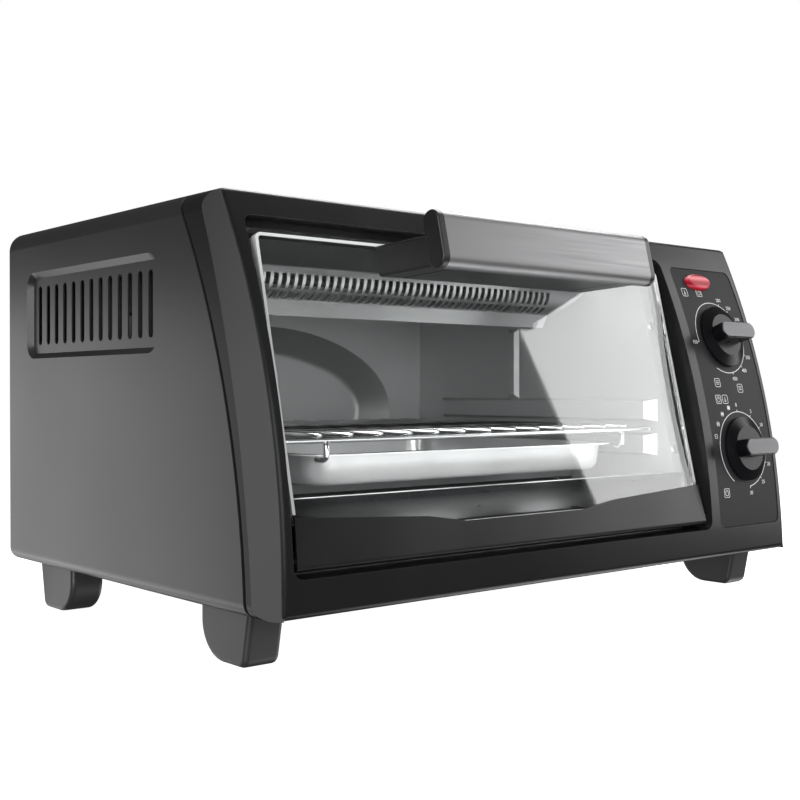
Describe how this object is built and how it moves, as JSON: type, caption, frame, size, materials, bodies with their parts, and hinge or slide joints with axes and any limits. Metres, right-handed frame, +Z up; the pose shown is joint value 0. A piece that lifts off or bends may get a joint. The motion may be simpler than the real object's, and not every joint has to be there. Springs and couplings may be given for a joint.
{
  "type": "toaster oven",
  "caption": "Compact toaster oven with a curved front, drop-down glass door with bar handle, door-linked wire rack and pan, rotary temperature and timer knobs, and four feet.",
  "frame": {"origin": "on the worktop, in the middle of the overall width and depth", "axes": "+X to the right of someone facing the oven, +Y towards the back, +Z up"},
  "size_m": [0.4, 0.2986, 0.216],
  "materials": {
    "casing_paint": "satin dark grey paint",
    "base_steel": "plain galvanised sheet",
    "frame_black": "semi-gloss black moulding",
    "fascia_grey": "satin dark grey with white print",
    "lens_red": "clear red",
    "lamp_glow": "clear",
    "cavity_steel": "aluminised sheet",
    "screw_steel": "zinc plated",
    "bush_brass": "turned",
    "heater_sheath": "oxidised sheath",
    "ceramic_white": "unglazed ceramic",
    "foot_black": "satin black moulding",
    "gland_black": "satin black moulding",
    "door_glass": "clear tempered",
    "rail_black": "satin black paint",
    "handle_silver": "fine brushed",
    "handle_black": "satin black moulding",
    "rack_chrome": "bright plated wire",
    "pan_metal": "bright sheet",
    "knob_black": "gloss black moulding",
    "knob_metal": "satin facing",
    "control_housing": "moulded housing"
  },
  "bodies": {
    "body": {"outer_wrapper": "casing_paint", "rear_panel": "casing_paint", "base_plate": "base_steel", "front_frame": "frame_black", "control_fascia": "fascia_grey", "indicator_lens": "lens_red", "indicator_lamp": "lamp_glow", "cavity_left_wall": "cavity_steel", "cavity_right_wall": "cavity_steel", "cavity_ceiling": "cavity_steel", "cavity_floor": "cavity_steel", "cavity_back_wall": "cavity_steel", "upper_element_guard": "cavity_steel", "lower_element_guard": "cavity_steel", "crumb_tray": "cavity_steel", "cavity_flange_screws": "screw_steel", "foot_screws": "screw_steel", "rear_panel_screws": "screw_steel", "control_nuts": "screw_steel", "timer_bell": "screw_steel", "hinge_bushes": "bush_brass", "upper_front_element": "heater_sheath", "upper_rear_element": "heater_sheath", "lower_front_element": "heater_sheath", "lower_rear_element": "heater_sheath", "element_insulators": "ceramic_white", "foot_front_left": "foot_black", "foot_front_right": "foot_black", "foot_rear_left": "foot_black", "foot_rear_right": "foot_black", "cord_gland": "gland_black", "thermostat_body": "control_housing", "timer_body": "control_housing"},
    "door": {"door_glass": "door_glass", "door_lower_rail": "rail_black", "door_hinge_pins": "screw_steel", "handle_cover": "handle_silver", "handle_core": "handle_black", "handle_cap_left": "handle_black", "handle_cap_right": "handle_black", "handle_arm_left": "handle_black", "handle_arm_right": "handle_black", "handle_screws": "screw_steel"},
    "rack": {"wire_rack": "rack_chrome", "rack_pan_hooks": "rack_chrome", "baking_pan": "pan_metal"},
    "temperature_control": {"temperature_knob": "knob_black", "temperature_knob_insert": "knob_metal", "temperature_shaft": "screw_steel"},
    "timer_control": {"timer_knob": "knob_black", "timer_knob_insert": "knob_metal", "timer_shaft": "screw_steel"}
  },
  "joints": [
    {"name": "door_hinge", "type": "hinge", "parent": "body", "child": "door", "pos_m": [-0.034, -0.1271, 0.04907], "axis": [1, 0, 0], "range_deg": [0, 95]},
    {"name": "rack_slide", "type": "slide", "parent": "body", "child": "rack", "axis": [0, -1, 0], "range_m": [0, 0.065]},
    {"name": "temperature_turn", "type": "hinge", "parent": "body", "child": "temperature_control", "pos_m": [0.1555, -0.11278, 0.157], "axis": [0, 0.9496, -0.3136], "range_deg": [0, 300]},
    {"name": "timer_turn", "type": "hinge", "parent": "body", "child": "timer_control", "pos_m": [0.1555, -0.12962, 0.088], "axis": [0, 0.9873, -0.1589], "range_deg": [-60, 270]}
  ],
  "couplings": [
    {"joint": "rack_slide", "follows": "door_hinge", "m_per_rad": 0.039}
  ]
}
